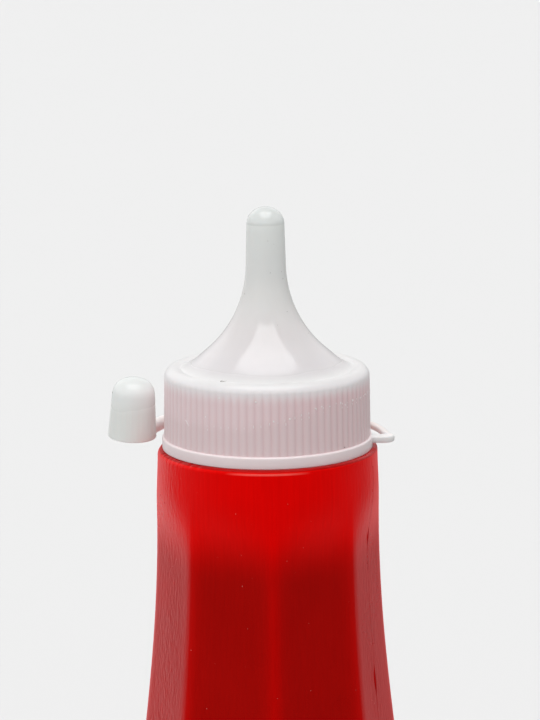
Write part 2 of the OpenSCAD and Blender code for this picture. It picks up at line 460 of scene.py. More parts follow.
@dataclass(frozen=True)
class RedWall:
    """Satin translucent red polyethylene. The ketchup behind it darkens it.

    The "tone" attribute holds the level (1 where ketchup is behind), the ridges and the scuffing.

    Attributes:
        bare, filled, ridge: the wall, with ketchup behind it, and a ridge with ketchup behind it.
        lip, painted_highlight: painted shade on the shoulder's top under the closure's band, and a
            thin painted highlight along the shoulder's edge at the front.
        highlight_z: height of that painted highlight, in millimetres.
        lip_shade_from, highlight_half, highlight_ahead: in metres, where the painted shade comes in
        above the highlight, where the highlight fades out from its middle, and where along y it
        fades out.
        gleam: colour of what the wall reflects head on.
        sheen: strength of the lighter red seen at a slant.
        die_lines, clouds, grain, wrinkles: lumps to a metre of each pattern.
        grain_relief, line_relief, scuff_relief: strength of each, and its depth in metres.
    """

    name: str = "red_wall"
    bare: Colour = (0.775, 0.0009, 0.0007)
    filled: Colour = (0.348, 0.0022, 0.0014)
    ridge: Colour = (0.47, 0.0018, 0.0012)
    lip: Colour = (0.30, 0.0006, 0.0005)
    painted_highlight: Colour = (0.95, 0.11, 0.09)
    highlight_z: float = 164.2
    lip_shade_from: tuple[float, float] = (0.00028, 0.0005)
    highlight_half: tuple[float, float] = (0.0001, 0.00028)
    highlight_ahead: tuple[float, float] = (-0.0222, -0.0208)
    gleam: Colour = (1.0, 0.03, 0.02)
    roughness: tuple[float, float] = (0.25, 0.33)
    subsurface: float = 0.05
    sheen: float = 0.75
    specular: float = 0.5
    die_lines: Colour = (2600, 2600, 28)
    clouds: float = 55
    grain: float = 2600
    wrinkles: Colour = (1500, 1500, 520)
    grain_relief: tuple[float, float] = (0.10, 0.00006)
    line_relief: tuple[float, float] = (0.22, 0.00008)
    scuff_relief: tuple[float, float] = (0.8, 0.00028)

    def material(self) -> bpy.types.Material:
        """Lays out the material's nodes.

        Returns:
            The material.
        """
        made = bpy.data.materials.new(self.name)
        g = Graph(made)
        level, ridge, scuff = g.masks("tone")[:3]
        lines = g.noise(g.place(self.die_lines), 1.0, 3)
        clouds = g.noise(g.place(), self.clouds, 3)
        grain = g.noise(g.place(), self.grain, 2)
        wrinkles = g.noise(g.place(self.wrinkles), 1.0, 3)
        colour = g.blend(level, self.bare, self.filled)
        colour = g.blend(g.calc("MULTIPLY", ridge, level), colour, self.ridge)
        _, ahead, height = g.axes()[:3]
        # Painted shade on the shoulder's top under the closure's band, then a thin painted
        # highlight along the shoulder's front edge.
        above = g.calc("SUBTRACT", height, self.highlight_z * MM)
        colour = g.blend(g.spread(above, *self.lip_shade_from, 0, 0.9), colour, self.lip)
        highlight_share = g.spread(g.size(above), *self.highlight_half, 0.9, 0, Slope.EASED)
        front = g.spread(ahead, *self.highlight_ahead, 1, 0)
        colour = g.blend(g.calc("MULTIPLY", highlight_share, front), colour, self.painted_highlight)
        cloudy = g.spread(clouds, 0.2, 0.8, -0.06, 0.06)
        lined = g.spread(lines, 0.2, 0.8, 0.94, 1.06)
        colour = g.shaded(colour, g.calc("ADD", cloudy, lined))
        relief = g.bump(grain, *self.grain_relief)
        relief = g.bump(lines, *self.line_relief, relief)
        relief = g.bump(g.calc("MULTIPLY", wrinkles, scuff), *self.scuff_relief, relief)
        g.surface({
            "Base Color": colour,
            "Roughness": g.spread(clouds, 0.2, 0.8, *self.roughness),
            "IOR": 1.5,
            "Specular Tint": (*self.gleam, 1),
            "Specular IOR Level": self.specular,
            "Normal": relief,
            "Subsurface Weight": self.subsurface,
            "Subsurface Radius": (1.0, 0.12, 0.08),
            "Subsurface Scale": 0.0015,
            "Sheen Weight": self.sheen,
            "Sheen Roughness": 0.4,
            "Sheen Tint": (1.0, 0.01, 0.01, 1),
        })
        return made


@dataclass(frozen=True)
class Ketchup:
    """Thick wet sauce with a faintly lumpy surface."""

    colour: Colour = (0.30, 0.006, 0.003)
    light: Colour = (0.42, 0.014, 0.006)

    def material(self) -> bpy.types.Material:
        """Lays out the material's nodes.

        Returns:
            The material.
        """
        made = bpy.data.materials.new("ketchup_sauce")
        g = Graph(made)
        lumps = g.noise(g.place(), 260, 4)
        g.surface({
            "Base Color": g.blend(g.spread(lumps, 0.35, 0.7, 0, 1), self.colour, self.light),
            "Roughness": g.spread(lumps, 0.3, 0.7, 0.12, 0.3),
            "Normal": g.bump(lumps, 0.5, 0.0004),
            "Subsurface Weight": 0.2,
            "Subsurface Radius": (1.0, 0.1, 0.05),
            "Subsurface Scale": 0.002,
        })
        return made


@dataclass(frozen=True)
class NaturalPlastic:
    """Natural-white polyethylene with a waxy depth.

    The "tint" attribute holds the red: the red neck showing through on the closure, and a painted
    reflection of the red wall on the tip cap and strap. It also holds the wall below the thread,
    and painted shade in the grooves and on the skirt's right side.

    Attributes:
        body: its own colour at each height, in millimetres.
        blush_and_red_reflection, lower, deep: colours of the red showing through, also used as
            painted reflection of the red wall; of the wall below the thread; and of painted shade
            in the grooves.
        smooth_z: height over which the moulded surface goes from satin to smooth.
        roughness: roughness below and above that.
        clouds, grain, flow: lumps to a metre of each pattern.
    """

    name: str
    body: tuple[tuple[float, Colour], ...]
    blush_and_red_reflection: Colour = (0.83, 0.675, 0.69)
    lower: Colour = (0.775, 0.63, 0.64)
    deep: Colour = (0.66, 0.38, 0.40)
    smooth_z: tuple[float, float] = (182.0, 184.5)
    roughness: tuple[float, float] = (0.32, 0.09)
    subsurface: float = 0.2
    clouds: float = 90
    grain: float = 3200
    flow: Colour = (420, 420, 60)

    def material(self) -> bpy.types.Material:
        """Lays out the material's nodes.

        Returns:
            The material.
        """
        made = bpy.data.materials.new(self.name)
        g = Graph(made)
        blush_and_red_reflection, lower, deep = g.masks("tint")[:3]
        clouds = g.noise(g.place(), self.clouds, 3)
        grain = g.noise(g.place(), self.grain, 2)
        flow = g.noise(g.place(self.flow), 1.0, 3)
        # Red showing through the wall, which on the tip cap and strap is painted reflection of the
        # red wall; below, the third channel blends in painted shade.
        colour = g.blend(blush_and_red_reflection, g.levels(self.body), self.blush_and_red_reflection)
        colour = g.blend(g.calc("MULTIPLY", lower, blush_and_red_reflection), colour, self.lower)
        colour = g.blend(deep, colour, self.deep)
        cloudy = g.spread(clouds, 0.3, 0.7, -0.008, 0.008)
        streaked = g.spread(flow, 0.3, 0.7, 0.992, 1.008)
        colour = g.shaded(colour, g.calc("ADD", cloudy, streaked))
        low, high = (z * MM for z in self.smooth_z)
        satin = g.spread(g.axes()[2], low, high, *self.roughness)
        g.surface({
            "Base Color": colour,
            "Roughness": g.calc("ADD", satin, g.spread(clouds, 0.3, 0.7, -0.02, 0.02)),
            "IOR": 1.5,
            "Normal": g.bump(grain, 0.04, 0.00004),
            "Subsurface Weight": self.subsurface,
            "Subsurface Radius": (1.0, 0.85, 0.8),
            "Subsurface Scale": 0.0010,
        })
        return made


@dataclass(frozen=True)
class Grain:
    """The finish of small loose things, such as dust and specks.

    Attributes:
        dark, light: the two ends of its range of colour.
    """

    name: str
    dark: Colour
    light: Colour
    roughness: float = 0.6

    def material(self) -> bpy.types.Material:
        """Lays out the material's nodes.

        Returns:
            The material.
        """
        made = bpy.data.materials.new(self.name)
        g = Graph(made)
        spots = g.noise(g.place(), 700, 2)
        g.surface({
            "Base Color": g.blend(g.spread(spots, 0.3, 0.7, 0, 1), self.dark, self.light),
            "Roughness": self.roughness,
        })
        return made


def dress(piece: bpy.types.Object, finish: bpy.types.Material, slot: str, *nodes: str) -> None:
    """Gives a piece its material and its body, and hides the CAD nodes that it stands for.

    Args:
        piece: the new piece.
        finish: its material.
        slot: the record's material slot. Not used.
        nodes: CAD nodes that it replaces.
    """
    piece.data.materials.append(finish)
    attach(piece, BODY)
    if nodes:
        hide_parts(*nodes)
    log.info("%s: %d faces", piece.name, len(piece.data.polygons))


# ---------------------------------------------------------------- bottle


@dataclass
class Bottle:
    """The blown bottle: round at the shoulder, eight flat panels below, hollow, with a neck.

    A height is measured from the base. Besides the plain sizes:

    Attributes:
        level_lift: how far the sauce's tone reaches above its level.
        ridge_dip: how much lower that tone stops on a ridge.
        wave_depth: how far each long wave of the wall moves it.
        fine_from: height above which the rings are closer together.
        ridge_glow: amount and width in degrees of each bell of the ridge mask.
        scuff_base: scuffing everywhere.
        scuffed: azimuth, width in degrees and amount of each scuffed place.
        nick_turns: azimuth of each dent along the shoulder's edge.
        nick_width, nick_depth: least and greatest half width in degrees, and depth, of a dent.
        flash: height, reach and size of each swollen spot, for either parting line.
        flash_half: half width of a parting line, and how much a spot of size 1 adds.
        flash_rise: how far it stands out, and the share of the added width that does too.
    """

    body_h: float = 165.0
    base_r: float = 31.5
    wall: float = 1.0
    base_edge: float = 4.0
    shoulder_r: float = 22.45
    shoulder_edge: float = 1.2
    grip_swell: float = 0.38
    flare_drop: float = 12.0
    flare_h: float = 113.0
    panels: int = 8
    panel_top: float = 160.0
    panel_blend: float = 16.0
    ridge_land: float = 0.8
    ridge_round: float = 0.55
    panel_turn: float = 2.5
    neck_r: float = 18.6
    neck_wall: float = 1.6
    neck_top: float = 179.1
    fill_z: float = 146.5
    level_soft: float = 6.5
    seam_turn: float = 70.0
    columns_per_panel: int = 44
    level_lift: float = 1.0
    ridge_dip: float = 2.5
    wave_count: int = 6
    wave_depth: float = 0.012
    fine_from: float = 40
    ridge_glow: tuple[tuple[float, float], ...] = ((0.75, 3.2), (0.35, 7.5))
    scuff_base: float = 0.12
    scuffed: tuple[tuple[float, float, float], ...] = ((-66, 16, 0.88), (70, 14, 0.35))
    nick_turns: tuple[float, ...] = (-74, -69, -63.5, -60, -55, -51, -44, -38.5, 34, 70)
    nick_width: tuple[float, float] = (0.6, 1.3)
    nick_depth: tuple[float, float] = (0.10, 0.26)
    flash: tuple[tuple[tuple[float, float, float], ...], ...] = (
        ((163.2, 0.9, 0.5), (147.4, 1.5, 1.0), (117.2, 2.3, 1.3)),
        ((140.0, 1.2, 1.0), (108.0, 1.8, 1.0)),
    )
    flash_half: tuple[float, float] = (0.07, 0.75)
    flash_rise: tuple[float, float] = (0.015, 0.18)

    def columns(self) -> Array:
        """Azimuths of the columns, closer together at the ridges.

        Each panel is crossed by a mean of even steps and steps that follow a sine.

        Returns:
            Azimuths in radians.
        """
        t = (np.arange(self.columns_per_panel) + 0.5) / self.columns_per_panel * 2 - 1
        half = 180 / self.panels
        local = half * (0.45 * t + 0.55 * np.sin(np.pi * t / 2))
        middles = self.panel_turn + half * (2 * np.arange(self.panels) + 1)
        return np.radians((middles[:, None] + local[None, :]).ravel())

    def ridge_radius(self, z: Array) -> Array:
        """Radius of the ridges: a slow wave from the grip down to the base.

        Args:
            z: heights.

        Returns:
            The radius at each height.
        """
        flare_top = self.body_h - self.flare_drop
        grip = self.shoulder_r + self.grip_swell
        above = grip - self.grip_swell * ease((z - flare_top) / self.flare_drop)
        below = grip + (self.base_r - grip) * ease((flare_top - z) / self.flare_h)
        return np.where(z > flare_top, above, below)

    def flatness(self, z: Array) -> Array:
        """How far the body has turned from round (0) to eight flat panels (1)."""
        return ease((self.panel_top - z) / self.panel_blend)

    def from_ridge(self, angles: Array) -> Array:
        """Angle from the nearest ridge, in degrees."""
        step = 360 / self.panels
        return np.abs((np.degrees(angles) - self.panel_turn + step / 2) % step - step / 2)

    def radius(self, z: Array, angles: Array) -> Array:
        """Radius of the body: part of the way from a circle to the softened panels' planes.

        Args:
            z: heights, rows by 1.
            angles: azimuths, one for each column.

        Returns:
            Rows by columns.
        """
        ridge = self.ridge_radius(z)
        half = np.radians(180 / self.panels)
        land = np.arcsin(self.ridge_land / 2 / ridge)
        away = half - np.radians(self.from_ridge(angles))
        plane = ridge * np.cos(half - land) / np.cos(away)
        flat = soft_min(ridge * np.ones_like(plane), plane, self.ridge_round)
        return ridge + (flat - ridge) * self.flatness(z)

    def waves(self, z: Array, angles: Array) -> Array:
        """Slight unevenness of a blown wall: a sum of six long waves, a few hundredths deep.

        Args:
            z: heights.
            angles: azimuths.

        Returns:
            How far out each place is.
        """
        draw = np.random.default_rng(11)
        total = np.zeros(np.broadcast(z, angles).shape)
        for _ in range(self.wave_count):
            turns = draw.integers(2, 9)
            along, shift = draw.uniform(0.03, 0.16), draw.uniform(0, 6.3)
            total += np.sin(turns * angles + along * z + shift)
        return total * self.wave_depth

    def outside(self) -> tuple[Array, Array, Array]:
        """The outer skin, from the base up to the shoulder.

        Returns:
            Radius and height, each rows by columns, and the columns' azimuths.
        """
        angles = self.columns()[None, :]
        e = self.base_edge
        foot = arc((self.base_r - e, e), e, e, -90, 0, 8)
        levels = np.concatenate([
            np.linspace(e, self.fine_from, 10)[1:],
            np.linspace(self.fine_from, self.body_h - self.shoulder_edge, 92)[1:-1],
        ])[:, None]
        body = self.radius(levels, angles) + self.waves(levels, angles)
        foot_ratio = self.radius(np.array([[e]]), angles) / self.base_r
        low = foot[:, :1] * foot_ratio
        edge = self.shoulder_edge * (0.8 - 0.35 * np.sin(angles))
        t = np.radians(np.linspace(0, 90, 9))[:, None]
        nicks = self.nicks(angles) * np.sin(t) ** 2
        high = self.shoulder_r - edge * (1 - np.cos(t)) - nicks
        top = self.body_h - edge * (1 - np.sin(t))
        radius, height = stacked([(low, foot[:, 1:]), (body, levels), (high, top)], angles)
        height = height - np.vstack([0 * low, 0 * body, nicks * 0.5])
        return radius, height, angles[0]

    def nicks(self, angles: Array) -> Array:
        """Small dents left by trimming along the shoulder's edge, mostly on the left.

        Args:
            angles: azimuths.

        Returns:
            Their depth at each azimuth.
        """
        draw = np.random.default_rng(5)
        total = np.zeros_like(angles)
        for middle in self.nick_turns:
            width, depth = draw.uniform(*self.nick_width), draw.uniform(*self.nick_depth)
            total += depth * bell((np.degrees(angles) - (middle % 360)) / width)
        return total

    def shell(self) -> tuple[Shape, Array]:
        """The whole wall as one skin that runs up the outside and down the inside.

        Returns:
            The shape, and the tone of each vertex.
        """
        radius, height, columns = self.outside()
        w, top, bore = self.wall, self.neck_top, self.neck_r - self.neck_wall
        neck = np.vstack([
            line((self.neck_r, self.body_h), (self.neck_r, top - 0.4), 2),
            arc((self.neck_r - 0.4, top - 0.4), 0.4, 0.4, 0, 90, 3),
            arc((bore + 0.4, top - 0.4), 0.4, 0.4, 90, 180, 3),
            [[bore, self.body_h - w]],
        ])
        inner_z = np.linspace(self.body_h - w - 0.4, self.base_edge, 40)[:, None]
        inner_r = self.radius(inner_z, columns[None, :]) - w
        low = self.base_edge - w
        floor = arc((self.base_r - self.base_edge, self.base_edge), low, low, 0, -90, 5)
        floor_r = floor[:, :1] * inner_r[-1:] / (self.base_r - w)
        all_r, all_z = stacked([
            (radius, height), (neck[:, :1], neck[:, 1:]), (inner_r, inner_z),
            (floor_r[1:], floor[1:, 1:]),
        ], columns)
        shape = Shape.from_rings(rings_at(all_r, all_z, columns))
        return shape, with_poles(self.tone(all_z, columns[None, :]))

    def tone(self, z: Array, angles: Array) -> Array:
        """What the finish needs to know at each place.

        The level is a smooth step about the sauce's surface, a little lower on the ridges. The
        ridge mask is two bells about each ridge. Scuffing is a base amount and a bell about each
        scuffed place.

        Args:
            z: heights.
            angles: azimuths.

        Returns:
            Level, ridge and scuff in a last axis of 3.
        """
        z, angles = np.broadcast_arrays(z, angles)
        away = self.from_ridge(angles)
        near = sum(amount * bell(away / width) for amount, width in self.ridge_glow)
        top = self.fill_z + self.level_soft + self.level_lift - self.ridge_dip * near
        level = ease((top - z) / (2 * self.level_soft))
        turn = from_front(angles)
        bells = sum(n * bell((turn - middle) / width) for middle, width, n in self.scuffed)
        scuff = self.scuff_base + bells
        return np.stack([level, near, np.clip(scuff, 0, 1)], axis=-1)

    def seam(self) -> Shape:
        """The two parting lines, with a few swollen spots of flash on each.

        A line is a narrow rib along the middle of a side panel. Its half width is a base width
        plus a bell at each spot, and it stands out there.

        Returns:
            Both lines, joined.
        """
        ribs = []
        across = np.array([-1.0, -0.5, 0.0, 0.5, 1.0, 0.4, -0.4])
        rise = np.array([-0.06, 0.6, 1.0, 0.6, -0.06, -1.0, -1.0])
        z = np.linspace(self.base_edge + 1, self.body_h - self.shoulder_edge - 1.5, 330)
        drift = 0.10 * np.sin(z * 0.21) + 0.05 * np.sin(z * 0.83)
        for turn, spots in zip((self.seam_turn, self.seam_turn + 180), self.flash):
            swell = sum(size * bell((z - middle) / reach) for middle, reach, size in spots)
            half = self.flash_half[0] + self.flash_half[1] * swell + 0.01 * np.sin(z * 1.7)
            side = half[:, None] * across[None, :] + drift[:, None]
            turns = np.radians(turn) + side / self.base_r
            r = self.radius(z[:, None], turns) + self.waves(z[:, None], turns)
            proud = self.flash_rise[0] + self.flash_rise[1] * (half - 0.05)
            out = r + rise[None, :] * proud[:, None]
            ribs.append(Shape.from_rings(rings_at(out, z[:, None], turns)))
        return Shape.joined(ribs)

    def dust(self, count: int = 260) -> Shape:
        """Sparse pale dust on the wall, denser towards the shoulder.

        Args:
            count: number of grains.

        Returns:
            The grains, joined.
        """
        draw = np.random.default_rng(23)
        z = self.body_h - 3 - 120 * draw.random(count) ** 1.5
        angles = draw.uniform(0, 2 * np.pi, count)
        r = self.radius(z, angles)
        out = rings_at(np.ones(count), np.zeros(count), angles)
        side = np.stack([np.cos(angles), np.sin(angles), np.zeros(count)], -1)
        up = np.tile([0.0, 0.0, 1.0], (count, 1))
        frames = np.stack([side, up, out], axis=1)
        size = 0.05 + 0.10 * draw.random(count) ** 3
        sizes = np.stack([size, size * draw.uniform(0.7, 1.8, count), size * 0.5], -1)
        return Shape.scattered(pebble(6), frames, rings_at(r, z, angles), sizes)

    def build(self) -> None:
        """Makes the wall, its parting lines and the dust on it."""
        finish = RedWall().material()
        shape, tone = self.shell()
        dress(shape.build("bottle_wall", {"tone": tone}), finish, "bottle", "bottle")
        seam = self.seam()
        level = self.tone(seam.points[:, 2], np.zeros(len(seam.points)))[:, :1]
        flash = RedWall("red_flash", bare=(0.52, 0.002, 0.002), filled=(0.40, 0.003, 0.003),
                        sheen=0.0, specular=0.03).material()
        dress(seam.build("parting_seams", {"tone": level * [1.0, 0.0, 0.0]}), flash, "bottle")
        dust = Grain("pale_dust", (0.80, 0.20, 0.18), (0.88, 0.50, 0.46)).material()
        dress(self.dust().build("dust_flecks"), dust, "bottle")


@dataclass
class Contents:
    """The ketchup, which fills the bottle up to its level and reaches just into the wall."""

    bottle: Bottle
    bite: float = 0.12
    climb: float = 1.2

    def build(self) -> None:
        """Makes the filling: the inner wall's shape, its surface climbing a little at the wall."""
        b = self.bottle
        columns = b.columns()
        inset = b.wall - self.bite
        z = np.linspace(b.base_edge, b.fill_z, 60)[:, None]
        side_r = b.radius(z, columns[None, :]) - inset
        low = b.base_edge - inset
        foot = arc((b.base_r - b.base_edge, b.base_edge), low, low, -90, 0, 5)[:-1]
        foot_r = foot[:, :1] * side_r[:1] / (b.base_r - inset)
        share = np.linspace(0.985, 0.04, 22)[:, None]
        ripple = 0.25 * np.sin(3 * columns + 9 * share) + 0.15 * np.sin(5 * columns - 14 * share)
        top_z = b.fill_z - self.climb * (1 - share ** 12) + ripple * (1 - share) * share * 4
        rings = [(foot_r, foot[:, 1:]), (side_r, z), (share * side_r[-1:], top_z)]
        shape = Shape.from_rings(rings_at(*stacked(rings, columns), columns))
        dress(shape.build("ketchup_fill"), Ketchup().material(), "ketchup", "ketchup")


# ---------------------------------------------------------------- closure


@dataclass
class Closure:
    """The screw closure: a smooth band, a ribbed skirt, a rounded rim and the swept nozzle.

    A height is measured from the open end. Besides the plain sizes:

    Attributes:
        drop: how far the band reaches below the open end.
        thread_z, thread_rise: height of the thread's trace on the left, and how far it climbs.
        thread_soft: height over which the wall's colour changes at the trace.
        blush_top, blush_fade: where no more red shows through, and over what height it fades out.
        band_blush: how much red shows through the band.
        right_side_shade: amount, azimuth and width in degrees of the painted shade on the skirt's
            right side, away from the light.
        groove_deep: how much painted shade the grooves get.
    """

    base_z: float = 165.4
    bore_r: float = 19.0
    band_r: float = 21.45
    band_h: float = 2.0
    band_edge: float = 0.45
    skirt_r: float = 21.05
    skirt_h: float = 14.3
    skirt_draft: float = 0.2
    rim_w: float = 4.15
    rim_top: float = 16.25
    valley_z: float = 16.1
    drop: float = 0.42
    foot_r: float = 16.7
    foot_z: float = 15.7
    plate: float = 1.7
    nozzle_h: float = 29.5
    nozzle_wall: float = 1.1
    tip_r: float = 3.81
    tip_h: float = 3.45
    shaft_draft: float = 1.6
    foot_slope: float = 49.0
    sweep_r: float = 23.0
    ribs: int = 82
    columns_per_rib: int = 10
    groove_depth: float = 0.16
    tip_line: float = 0.012
    thread_z: float = 7.7
    thread_rise: float = 3.7
    thread_soft: float = 1.6
    blush_top: float = 15.4
    blush_fade: float = 3.6
    band_blush: float = 0.40
    right_side_shade: tuple[float, float, float] = (0.26, 46, 36)
    groove_deep: float = 0.27

    def nozzle(self, inset: float, steps: tuple[int, int, int]) -> Array:
        """Half outline of the nozzle: a cone, an arc that sweeps it into the shaft, and the tip.

        Args:
            inset: how far it is taken in all round.
            steps: points of the cone, the sweep and the tip.

        Returns:
            Rows of radius and height above the open end.
        """
        steep, draft = math.radians(self.foot_slope), math.radians(self.shaft_draft)
        s = math.tan(draft)
        shaft_foot = self.tip_r + s * self.nozzle_h
        run = self.sweep_r * (math.cos(draft) - math.cos(steep))
        rise = self.sweep_r * (math.sin(steep) - math.sin(draft))
        join = (self.foot_r - shaft_foot - run + rise * math.tan(steep)) / (math.tan(steep) - s)
        cx = shaft_foot - s * join + self.sweep_r * math.cos(draft)
        cz = self.foot_z + join + self.sweep_r * math.sin(draft)
        r = self.sweep_r + inset
        sweep = arc((cx, cz), -r, -r, self.foot_slope, self.shaft_draft, steps[1])
        foot = (self.foot_r, self.foot_z - inset / math.sin(steep))
        top = self.foot_z + self.nozzle_h
        tip = arc((0, top), self.tip_r - inset, self.tip_h - inset, 0, 88, steps[2])
        shaft = line(tuple(sweep[-1]), (tip[0, 0], tip[0, 1] - 0.12), 6)[1:]
        crease = tip[:1] - [[0.0, 0.1], [self.tip_line, 0.04]]
        return np.vstack([line(foot, tuple(sweep[0]), steps[0]), sweep, shaft, crease, tip])

    def outline(self) -> Array:
        """The closure's half outline, from the end of the passage inside to the tip outside.

        Returns:
            Rows of radius and height.
        """
        inside = self.nozzle(self.nozzle_wall, (3, 10, 5))
        plate_z = self.foot_z - self.plate
        passage = inside[(inside[:, 1] > plate_z) & (inside[:, 0] < self.foot_r - self.plate)][::-1]
        e, b = self.band_edge, self.band_r
        rim_r = self.rim_w / 2
        centre = (self.skirt_r - self.skirt_draft - rim_r, self.skirt_h)
        skirt_z = np.concatenate([
            np.linspace(self.band_h + 0.12, 11.0, 7),
            np.linspace(11.6, self.skirt_h, 6)[:-1],
        ])
        skirt = np.stack([self.skirt_radius(skirt_z), skirt_z], 1)
        rim = arc(centre, rim_r, self.rim_top - self.skirt_h, 0, 128, 16)
        outside = self.nozzle(0, (5, 22, 12))
        corner = np.array([self.foot_r + 0.25, self.valley_z - 0.1])
        valley = self.fillet(rim[-1], corner, outside[2], 6)
        return np.vstack([
            passage,
            [[passage[-1, 0], plate_z], [self.bore_r, plate_z]],
            [[self.bore_r, 0.3], [self.bore_r + 0.3, -self.drop]],
            arc((b - 0.2, 0.2 - self.drop), 0.2, 0.2, -90, 0, 3),
            arc((b - e, self.band_h - e * 0.8), e, e * 0.8, 0, 80, 4),
            [[self.skirt_r + 0.01, self.band_h + 0.02]],
            skirt,
            rim,
            valley,
            outside[3:],
        ])

    @staticmethod
    def fillet(a: Array, corner: Array, b: Array, n: int) -> Array:
        """The parabola from a to b that a corner steers, in n points after a."""
        t = np.linspace(0, 1, n + 1)[1:, None]
        return (1 - t) ** 2 * a + 2 * t * (1 - t) * corner + t ** 2 * b

    def skirt_radius(self, z: Array) -> Array:
        """Radius of the ribs' crests, which draws in towards the rim."""
        share = np.clip((z - self.band_h) / (self.skirt_h - self.band_h), 0, 1)
        return self.skirt_r - self.skirt_draft * share

    def rib_phase(self, angles: Array) -> Array:
        """Place across a rib: 0 on its crest and 1 at the bottom of the grooves beside it."""
        turn = angles * self.ribs / (2 * np.pi)
        return np.abs((turn + 0.5) % 1 - 0.5) * 2

    def rib_strength(self, outline: Array) -> Array:
        """How much of the grooves is left: all of it on the skirt, fading out into the rim.

        Args:
            outline: rows of radius and height.

        Returns:
            A share for each row.
        """
        z, outer = outline[:, 1], outline[:, 0] > self.bore_r + 0.9
        fade = 1 - ease((z - (self.skirt_h - 1.1)) / 2.3)
        return np.where(outer & (z > self.band_h), fade, 0)

    def thread_line(self, angles: Array) -> Array:
        """Height of the thread's trace: it climbs in one slow step across the front."""
        turn = from_front(angles)
        return self.thread_z + self.thread_rise * (ease((turn + 18) / 62) - ease((turn - 100) / 80))

    def shell(self) -> tuple[Shape, Array]:
        """The closure as one skin with its grooves.

        Returns:
            The shape, and the tint of each vertex.
        """
        outline = self.outline()
        angles = even_columns(self.ribs * self.columns_per_rib)
        phase, strength = self.rib_phase(angles), self.rib_strength(outline)[:, None]
        radius = outline[:, :1] - self.groove_depth * strength * phase ** 1.8
        r, z = (np.broadcast_to(outline[:, i:i + 1], radius.shape) for i in (0, 1))
        skirt = ease((self.blush_top - z) / self.blush_fade) * (r > self.bore_r + 0.5)
        band = (z <= self.band_h) & (r > self.bore_r)
        blush_and_red_reflection = np.where(band, self.band_blush, skirt)
        lower = ease((self.thread_line(angles) - z) / self.thread_soft + 0.5)
        # Painted shade: the skirt's right side, away from the light, and the grooves are darkened
        # towards the shade colour.
        amount, middle, width = self.right_side_shade
        right_side_shade = amount * bell((from_front(angles) - middle) / width)
        right_side_shade = right_side_shade * (1 - 0.6 * lower) * skirt * ~band
        deep = (self.groove_deep * strength * phase ** 2 + right_side_shade) * np.clip(skirt * 1.3, 0, 1)
        shape = Shape.from_rings(rings_at(radius, z + self.base_z, angles))
        return shape, with_poles(np.stack([blush_and_red_reflection, lower, deep], -1))

    def on_surface(self, turn: Array, height: Array) -> tuple[Array, Array]:
        """Places and directions on the outside at a given turn and height.

        Args:
            turn: azimuths in degrees.
            height: heights above the open end.

        Returns:
            Points, n by 3, and frames, n by 3 by 3, whose rows are sideways, up and outwards.
        """
        outline = np.vstack([
            [[self.skirt_r, 2.0], [self.skirt_r - self.skirt_draft, self.skirt_h]],
            [[20.5, 15.6]],
            self.nozzle(0, (4, 30, 20)),
        ])
        order = np.argsort(outline[:, 1], kind="stable")
        r = np.interp(height, outline[order, 1], outline[order, 0])
        slope = (np.interp(height + 0.2, outline[order, 1], outline[order, 0]) - r) / 0.2
        a, n = np.radians(turn), len(turn)
        lean = 1 / np.sqrt(1 + slope ** 2)
        out = rings_at(lean, -slope * lean, a)
        side = np.stack([np.cos(a), np.sin(a), np.zeros(n)], -1)
        frames = np.stack([side, np.cross(out, side), out], axis=1)
        return rings_at(r, height + self.base_z, a), frames

    def specks(self) -> Shape:
        """The few dark specks on the nozzle and skirt, and the hair caught on the rim.

        Returns:
            All of them, joined.
        """
        spots = np.array([
            # turn, height, width, length
            (-63.0, 31.3, 0.16, 0.22), (44.4, 27.96, 0.20, 0.14), (74.5, 23.2, 0.16, 0.16),
            (92.0, 18.6, 0.20, 0.24), (6.6, 42.2, 0.26, 0.06), (25.0, 41.5, 0.10, 0.08),
            (12.8, 35.8, 0.20, 0.08), (49.5, 35.8, 0.12, 0.16), (54.0, 34.4, 0.08, 0.26),
            (42.9, 14.9, 0.16, 0.18), (36.5, 15.0, 0.14, 0.12), (46.5, 2.4, 0.26, 0.20),
            (18.0, 25.7, 0.07, 0.16), (150.0, 30.0, 0.15, 0.15), (205.0, 24.0, 0.18, 0.14),
        ])
        places, frames = self.on_surface(spots[:, 0], spots[:, 1])
        sizes = np.stack([spots[:, 2], spots[:, 3], np.full(len(spots), 0.07)], -1)
        grains = Shape.scattered(pebble(), frames, places, sizes)
        t = np.linspace(0, 1, 16)
        turn = np.radians(-29.8 + 3.4 * t ** 1.4)
        r = 17.3 + 1.5 * np.sin(2.9 * t ** 0.8)
        hair = self.thread(rings_at(r, self.base_z + self.rim_top + 0.02, turn), 0.055)
        return Shape.joined([grains, hair])

    @staticmethod
    def thread(path: Array, radius: float, sides: int = 6) -> Shape:
        """A thin round hair along a path in space, its section square to the path.

        Args:
            path: n by 3.
            radius: its radius.
            sides: points in a section.

        Returns:
            The closed hair.
        """
        ahead = np.gradient(path, axis=0)
        ahead /= np.linalg.norm(ahead, axis=1, keepdims=True)
        first = np.cross(ahead, [0.0, 0.3, 1.0])
        first /= np.linalg.norm(first, axis=1, keepdims=True)
        second = np.cross(ahead, first)
        t = even_columns(sides)
        ring = np.cos(t)[:, None] * first[:, None] + np.sin(t)[:, None] * second[:, None]
        taper = radius * (1 - 0.6 * np.linspace(-1, 1, len(path)) ** 4)
        return Shape.from_rings(path[:, None] + ring * taper[:, None, None])

